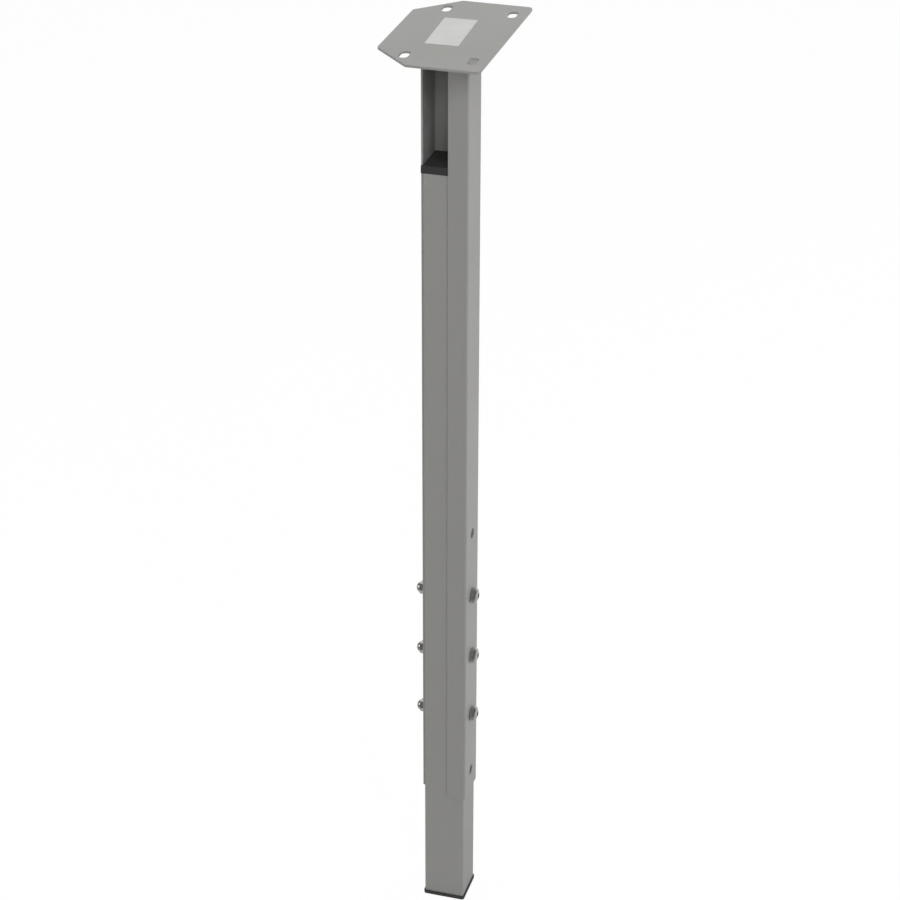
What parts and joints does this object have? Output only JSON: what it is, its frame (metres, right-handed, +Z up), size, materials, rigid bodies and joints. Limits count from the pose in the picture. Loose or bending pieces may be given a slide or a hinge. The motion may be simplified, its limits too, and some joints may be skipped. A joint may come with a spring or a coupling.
{
  "type": "adjustable furniture leg",
  "caption": "Telescopic steel furniture leg: a footed tube slides in an open-fronted sleeve under a slotted mounting plate and is clamped by through bolts.",
  "frame": {"origin": "middle of the foot's underside, where the leg stands on the floor", "axes": "+Z up along the leg, +X out of the sleeve's open front, +Y towards the side with the bolt heads"},
  "size_m": [0.153, 0.0886, 0.806],
  "materials": {
    "silver_paint": "silver-grey powder coat, satin",
    "black_plastic": "black moulded plastic, matt",
    "bright_zinc": "bright zinc plating",
    "nickel": "polished nickel plating"
  },
  "bodies": {
    "lower": {"inner_tube": "silver_paint", "guide_plug": "black_plastic", "foot_cap": "black_plastic"},
    "upper": {"top_plate": "silver_paint", "outer_sleeve": "silver_paint", "left_weld": "silver_paint", "back_weld": "silver_paint", "right_weld": "silver_paint", "front_weld": "silver_paint", "lower_bolt": "bright_zinc", "middle_bolt": "bright_zinc", "upper_bolt": "bright_zinc", "lower_washer": "bright_zinc", "middle_washer": "bright_zinc", "upper_washer": "bright_zinc", "lower_nut_washer": "bright_zinc", "middle_nut_washer": "bright_zinc", "upper_nut_washer": "bright_zinc", "lower_cap_nut": "nickel", "middle_cap_nut": "nickel", "upper_cap_nut": "nickel"}
  },
  "joints": [
    {"name": "height_slide", "type": "slide", "parent": "lower", "child": "upper", "axis": [0, 0, 1], "range_m": [-0.065, 0.3]}
  ]
}
